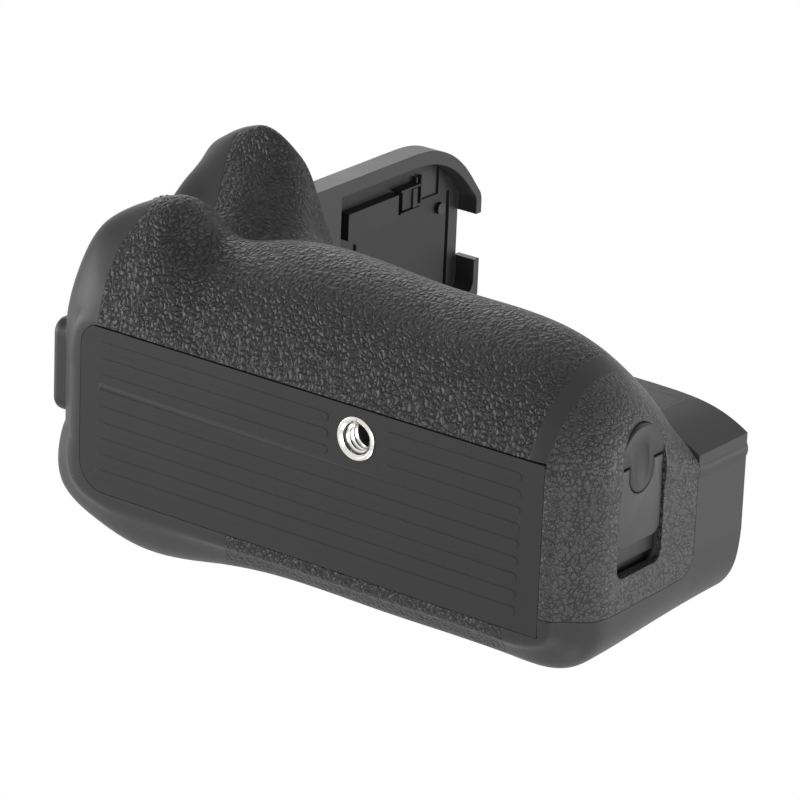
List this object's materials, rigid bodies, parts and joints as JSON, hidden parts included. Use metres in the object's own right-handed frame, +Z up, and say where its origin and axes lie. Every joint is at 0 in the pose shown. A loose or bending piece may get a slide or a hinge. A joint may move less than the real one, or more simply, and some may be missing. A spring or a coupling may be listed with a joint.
{
  "type": "camera battery grip",
  "caption": "Vertical grip that screws under a camera, with a battery tower above and a magazine that slides out of its end.",
  "frame": {"origin": "axis of the tripod socket on the resting plane", "axes": "+X towards the battery door, -Y towards the finger side, +Z up into the camera"},
  "size_m": [0.1314, 0.0755, 0.1087],
  "materials": {
    "shell_plastic": "fine moulded texture",
    "deck_plastic": "fine moulded texture",
    "grip_rubber": "leather grain",
    "door_leatherette": "leather grain",
    "base_plastic": "smooth satin",
    "tower_plastic": "satin",
    "latch_plastic": "satin",
    "inner_plastic": "matte",
    "gloss_black": "semi-gloss",
    "bright_metal": "bright",
    "steel": "plain",
    "dark_steel": "blackened",
    "gear_metal": "machined",
    "contact_metal": "gold flash",
    "board": "solder mask",
    "chip": "matte",
    "cable": "polyimide film"
  },
  "bodies": {
    "body": {"front_shell": "shell_plastic", "rear_shell": "shell_plastic", "end_housing": "shell_plastic", "top_deck": "deck_plastic", "front_grip_rubber": "grip_rubber", "rear_grip_rubber": "grip_rubber", "base_plate": "base_plastic", "chassis_plate": "steel", "tripod_bushing": "bright_metal", "bay_liner": "inner_plastic", "bay_contact_block": "inner_plastic", "bay_contact_pins": "contact_metal", "deck_screws": "dark_steel", "locating_pin": "bright_metal", "drive_bracket": "steel", "wheel_axle": "steel", "shutter_switch": "board", "front_dial_axle": "steel", "front_dial_bracket": "steel", "rear_dial_axle": "steel", "rear_dial_bracket": "steel", "tower_frame": "tower_plastic", "tower_back_cover": "tower_plastic", "tower_cover_screws": "dark_steel", "tower_contact_block": "inner_plastic", "tower_contacts": "contact_metal", "recess_panel": "tower_plastic", "panel_screw": "dark_steel", "rear_switch_board": "board", "joystick_base": "inner_plastic", "main_board": "board", "board_components": "chip", "board_screws": "steel", "flex_cable": "cable"},
    "magazine": {"magazine_tray": "inner_plastic", "magazine_end_cap": "shell_plastic", "door_skin": "door_leatherette", "magazine_screws": "steel", "magazine_contacts": "contact_metal"},
    "slider": {"latch_slider": "latch_plastic", "latch_bolt": "steel"},
    "key": {"latch_key": "latch_plastic"},
    "catch_inner": {"battery_catch_inner": "gloss_black"},
    "catch_outer": {"battery_catch_outer": "gloss_black"},
    "wheel": {"lock_wheel": "gloss_black", "wheel_gear": "gear_metal"},
    "screw": {"camera_screw": "bright_metal", "screw_gear": "gear_metal"},
    "shutter": {"shutter_button": "gloss_black"},
    "ring": {"power_ring": "gloss_black"},
    "front_wheel": {"front_dial": "gloss_black"},
    "rear_wheel": {"rear_dial": "gloss_black"},
    "focus": {"focus_button": "gloss_black"},
    "exposure_lock": {"exposure_lock_button": "gloss_black"},
    "function": {"function_button": "gloss_black"},
    "gimbal": {"joystick_gimbal": "inner_plastic"},
    "stick": {"joystick": "gloss_black"},
    "clip": {"cover_clip": "tower_plastic"}
  },
  "joints": [
    {"name": "magazine_slide", "type": "slide", "parent": "body", "child": "magazine", "axis": [1, 0, 0], "range_m": [0, 0.1]},
    {"name": "latch_slide", "type": "slide", "parent": "magazine", "child": "slider", "axis": [0, 1, 0], "range_m": [0, 0.0053]},
    {"name": "latch_key_press", "type": "slide", "parent": "magazine", "child": "key", "axis": [-1, 0, 0], "range_m": [0, 0.0007], "stiffness_N_per_m": 900},
    {"name": "inner_catch_slide", "type": "slide", "parent": "magazine", "child": "catch_inner", "axis": [1, 0, 0], "range_m": [0, 0.0018], "stiffness_N_per_m": 500},
    {"name": "outer_catch_slide", "type": "slide", "parent": "magazine", "child": "catch_outer", "axis": [1, 0, 0], "range_m": [0, 0.0018], "stiffness_N_per_m": 500},
    {"name": "wheel_spin", "type": "hinge", "parent": "body", "child": "wheel", "pos_m": [0, 0.0224, 0.044], "axis": [0, 0, 1], "continuous": true},
    {"name": "screw_spin", "type": "hinge", "parent": "body", "child": "screw", "pos_m": [0, 0.008, 0.047], "axis": [0, 0, 1], "continuous": true},
    {"name": "shutter_press", "type": "slide", "parent": "body", "child": "shutter", "axis": [1, 0, 0], "range_m": [0, 0.0009], "stiffness_N_per_m": 500},
    {"name": "power_ring_turn", "type": "hinge", "parent": "body", "child": "ring", "pos_m": [-0.078, 0.00465, 0.027], "axis": [1, 0, 0], "range_deg": [0, 40]},
    {"name": "front_dial_spin", "type": "hinge", "parent": "body", "child": "front_wheel", "pos_m": [-0.0642, -0.01618, 0.022], "axis": [1, 0, 0], "continuous": true},
    {"name": "rear_dial_spin", "type": "hinge", "parent": "body", "child": "rear_wheel", "pos_m": [-0.0642, 0.03051, 0.027], "axis": [1, 0, 0], "continuous": true},
    {"name": "focus_press", "type": "slide", "parent": "body", "child": "focus", "axis": [0, -1, 0], "range_m": [0, 0.0006], "stiffness_N_per_m": 700},
    {"name": "exposure_lock_press", "type": "slide", "parent": "body", "child": "exposure_lock", "axis": [0, -1, 0], "range_m": [0, 0.0006], "stiffness_N_per_m": 700},
    {"name": "function_press", "type": "slide", "parent": "body", "child": "function", "axis": [0, -1, 0], "range_m": [0, 0.0006], "stiffness_N_per_m": 700},
    {"name": "stick_up_down", "type": "hinge", "parent": "body", "child": "gimbal", "pos_m": [-0.04242, 0.03211, 0.03267], "axis": [1, 0, 0], "range_deg": [-8, 8], "stiffness_Nm_per_rad": 0.02},
    {"name": "stick_left_right", "type": "hinge", "parent": "gimbal", "child": "stick", "pos_m": [-0.04242, 0.03211, 0.03267], "axis": [0, 0, 1], "range_deg": [-8, 8], "stiffness_Nm_per_rad": 0.02},
    {"name": "cover_clip_slide", "type": "slide", "parent": "body", "child": "clip", "axis": [0, 0, 1], "range_m": [0, 0.001], "stiffness_N_per_m": 200}
  ],
  "couplings": [
    {"joint": "screw_spin", "follows": "wheel_spin", "ratio": -0.63636}
  ]
}
